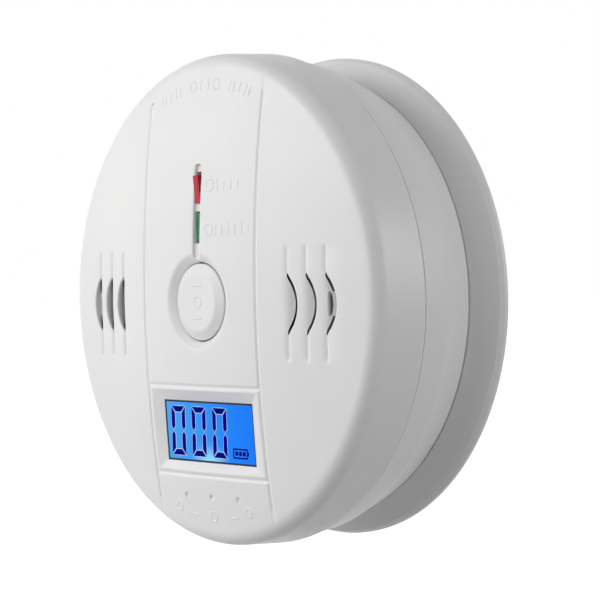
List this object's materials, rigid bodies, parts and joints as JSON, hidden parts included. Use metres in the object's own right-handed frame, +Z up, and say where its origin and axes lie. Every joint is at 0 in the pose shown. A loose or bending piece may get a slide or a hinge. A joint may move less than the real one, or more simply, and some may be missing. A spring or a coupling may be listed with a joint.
{
  "type": "carbon monoxide detector",
  "caption": "Round battery carbon monoxide alarm with domed face, display, test button, louvres and twist-lock wall base.",
  "frame": {"origin": "centre of the wall face of the mounting base", "axes": "+Z up on the wall, +Y into the wall so the face looks to -Y, +X to the right of someone who looks at the face"},
  "size_m": [0.1, 0.0378, 0.1],
  "materials": {
    "shell_plastic": "fine moulded satin",
    "red_lens": "diffused lens",
    "green_lens": "diffused lens",
    "display_glass": "polished",
    "light_guide": "translucent",
    "holder_plastic": "moulded",
    "strip_rubber": "soft",
    "board": "solder mask",
    "dark_plastic": "moulded",
    "sensor_metal": "satin",
    "piezo_brass": "satin",
    "capacitor_can": "satin",
    "ferrite": "sintered",
    "chip_ceramic": "matt",
    "mesh_steel": "woven",
    "cell_sleeve": "printed sleeve",
    "contact_steel": "nickel plated",
    "screw_steel": "zinc plated"
  },
  "bodies": {
    "base": {"mounting_base": "shell_plastic"},
    "detector": {"rear_housing": "shell_plastic", "front_cover": "shell_plastic", "lcd_panel": "display_glass", "alarm_led": "red_lens", "operate_led": "green_lens", "lcd_backlight": "light_guide", "lcd_holder": "holder_plastic", "lcd_connector_strip": "strip_rubber", "main_pcb": "board", "switch_body": "dark_plastic", "co_sensor": "sensor_metal", "sounder_chamber": "dark_plastic", "piezo_disc": "piezo_brass", "microcontroller": "dark_plastic", "capacitors": "capacitor_can", "boost_inductor": "ferrite", "crystal": "sensor_metal", "chip_parts": "chip_ceramic", "dust_mesh_left": "mesh_steel", "dust_mesh_right": "mesh_steel", "battery_1": "cell_sleeve", "battery_2": "cell_sleeve", "battery_3": "cell_sleeve", "contact_positive": "contact_steel", "contact_negative": "contact_steel", "contact_bridge_left": "contact_steel", "contact_bridge_right": "contact_steel", "case_screws": "screw_steel", "pcb_screws": "screw_steel"},
    "button": {"test_button": "shell_plastic"},
    "plunger": {"switch_plunger": "dark_plastic"}
  },
  "joints": [
    {"name": "twist_lock", "type": "hinge", "parent": "base", "child": "detector", "pos_m": [0, 0, 0], "axis": [0, -1, 0], "range_deg": [0, 15]},
    {"name": "button_press", "type": "slide", "parent": "detector", "child": "button", "axis": [0, 1, 0], "range_m": [0, 0.0006], "stiffness_N_per_m": 1500, "springref_m": -0.0006},
    {"name": "plunger_press", "type": "slide", "parent": "detector", "child": "plunger", "axis": [0, 1, 0], "range_m": [0, 0.0003]}
  ],
  "couplings": [
    {"joint": "plunger_press", "follows": "button_press", "ratio": 0.5}
  ]
}
